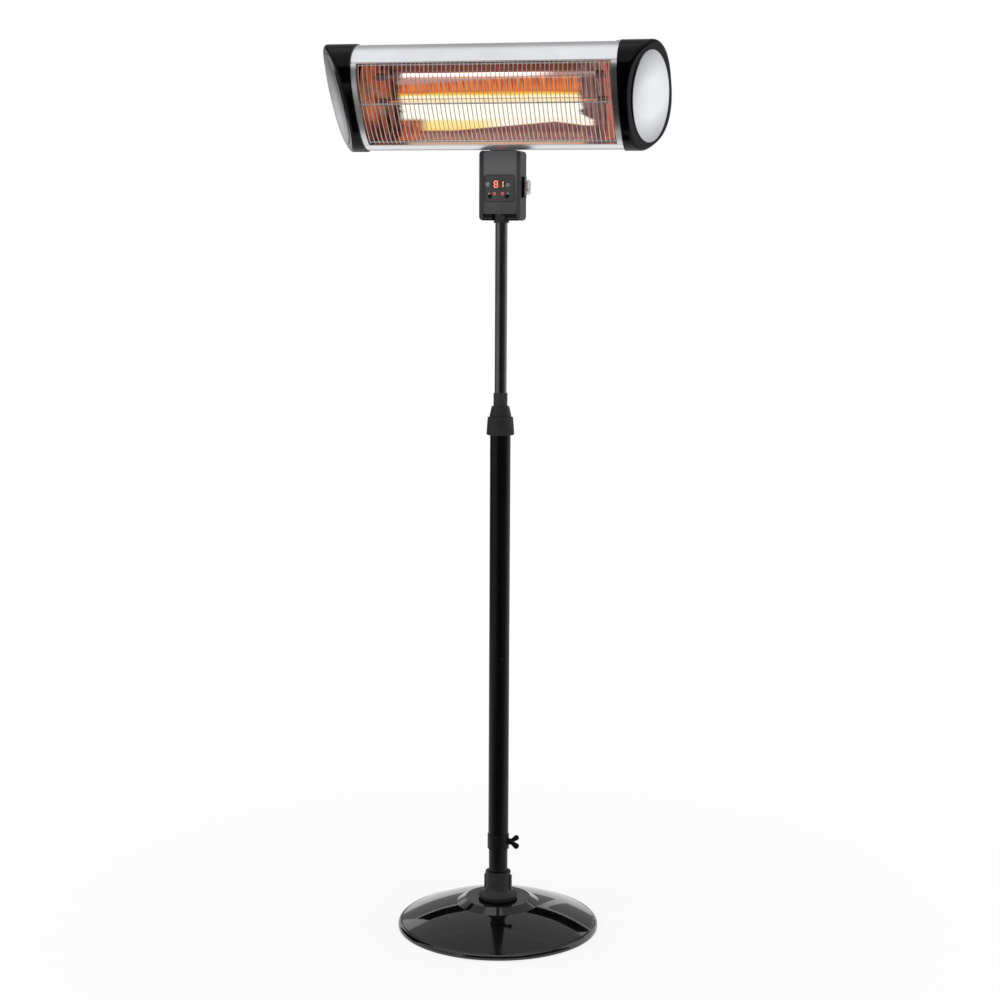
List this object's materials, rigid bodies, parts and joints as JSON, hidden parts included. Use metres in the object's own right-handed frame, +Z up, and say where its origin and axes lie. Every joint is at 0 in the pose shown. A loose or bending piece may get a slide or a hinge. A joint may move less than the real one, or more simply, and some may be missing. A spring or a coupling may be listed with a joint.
{
  "type": "infrared patio heater tower",
  "caption": "Free-standing electric infrared heater: tilting lamp head over a control box on a telescoping, swivelling mast with a heavy round base.",
  "frame": {"origin": "on the floor, under the mast axis", "axes": "+Z up; the heater faces -Y; +X is on the right of a viewer who stands in front"},
  "size_m": [0.7866, 0.48, 2.0666],
  "materials": {
    "gloss_black": "high gloss",
    "raw_steel": "plain",
    "foot_rubber": "matte",
    "satin_black": "satin powder coat",
    "zinc": "zinc plated",
    "collar_plastic": "matte",
    "screw_black": "black",
    "band_black": "satin",
    "wing_plastic": "matte",
    "lock_plastic": "matte, fluted",
    "white_plastic": "matte",
    "box_plastic": "fine texture",
    "gland_plastic": "matte",
    "panel_plastic": "fine texture",
    "label_film": "semi-gloss film",
    "display_glass": "tinted",
    "digit_light": "lit",
    "led_light": "lit",
    "circuit_board": "lacquered",
    "yoke_steel": "black",
    "inner_plastic": "plain",
    "switch_black": "semi-gloss",
    "boot_rubber": "clear soft silicone",
    "button_plastic": "semi-gloss",
    "rocker_red": "semi-gloss",
    "satin_aluminium": "satin anodised",
    "frame_aluminium": "satin",
    "cap_plastic": "high gloss",
    "plate_aluminium": "fine brushed",
    "chrome_wire": "polished",
    "mirror_aluminium": "polished",
    "quartz": "clear",
    "filament_lit": "glowing",
    "filament_dark": "carbon grey",
    "lamp_ceramic": "matte",
    "cast_black": "black"
  },
  "bodies": {
    "base": {"base_cover": "gloss_black", "base_weight": "raw_steel", "base_feet": "foot_rubber", "mast_stub": "satin_black", "stub_bolts": "zinc", "stub_nuts": "zinc", "base_collar": "collar_plastic"},
    "mast": {"lower_tube": "satin_black", "middle_tube": "satin_black", "tube_coupler": "raw_steel", "coupler_screws": "screw_black", "clamp_band": "band_black", "lock_ferrule": "collar_plastic", "lock_collet": "collar_plastic"},
    "wing_screw": {"clamp_screw": "zinc", "clamp_wing": "wing_plastic"},
    "lock_nut": {"lock_nut": "lock_plastic"},
    "upper_mast": {"upper_tube": "satin_black", "tube_bush": "white_plastic", "box_collar": "collar_plastic", "box_front_shell": "box_plastic", "box_back_shell": "box_plastic", "box_screws": "screw_black", "cable_gland": "gland_plastic", "front_panel": "panel_plastic", "panel_overlay": "label_film", "display_window": "display_glass", "display_digits": "digit_light", "indicator_leds": "led_light", "control_board": "circuit_board", "tilt_yoke": "yoke_steel", "yoke_bolts": "zinc", "tilt_bolt": "zinc", "tilt_nut": "zinc", "tilt_washers": "zinc", "power_board": "circuit_board", "terminal_block": "white_plastic", "tip_switch": "inner_plastic", "switch_body": "switch_black", "switch_boot": "boot_rubber"},
    "button_left": {"button_left": "button_plastic"},
    "button_right": {"button_right": "button_plastic"},
    "rocker": {"rocker": "rocker_red"},
    "head": {"head_housing": "satin_aluminium", "side_frames": "frame_aluminium", "end_cap_left": "cap_plastic", "end_cap_right": "cap_plastic", "end_plate_left": "plate_aluminium", "end_plate_right": "plate_aluminium", "grille_wires": "chrome_wire", "grille_rails": "chrome_wire", "reflector": "mirror_aluminium", "reflector_ends": "mirror_aluminium", "quartz_tubes": "quartz", "filament_lower": "filament_lit", "filament_upper": "filament_dark", "lamp_caps": "lamp_ceramic", "head_bracket": "cast_black", "bracket_screws": "zinc", "cap_screws": "zinc"}
  },
  "joints": [
    {"name": "mast_swivel", "type": "hinge", "parent": "base", "child": "mast", "pos_m": [0, 0, 0.205], "axis": [0, 0, 1], "continuous": true},
    {"name": "wing_screw_turn", "type": "hinge", "parent": "mast", "child": "wing_screw", "pos_m": [0.03, 0, 0.209], "axis": [1, 0, 0], "continuous": true},
    {"name": "lock_nut_turn", "type": "hinge", "parent": "mast", "child": "lock_nut", "pos_m": [0, 0, 1.22], "axis": [0, 0, 1], "range_deg": [0, 270]},
    {"name": "height_slide", "type": "slide", "parent": "mast", "child": "upper_mast", "axis": [0, 0, 1], "range_m": [-0.385, 0.04]},
    {"name": "button_left_press", "type": "slide", "parent": "upper_mast", "child": "button_left", "axis": [0, 1, 0], "range_m": [0, 0.0009], "stiffness_N_per_m": 800, "springref_m": -0.001},
    {"name": "button_right_press", "type": "slide", "parent": "upper_mast", "child": "button_right", "axis": [0, 1, 0], "range_m": [0, 0.0009], "stiffness_N_per_m": 800, "springref_m": -0.001},
    {"name": "rocker_tip", "type": "hinge", "parent": "upper_mast", "child": "rocker", "pos_m": [0.0505, 0.008, 1.756], "axis": [0, 1, 0], "range_deg": [0, 18]},
    {"name": "head_tilt", "type": "hinge", "parent": "upper_mast", "child": "head", "pos_m": [0, 0.008, 1.915], "axis": [1, 0, 0], "range_deg": [-35, 10]}
  ]
}
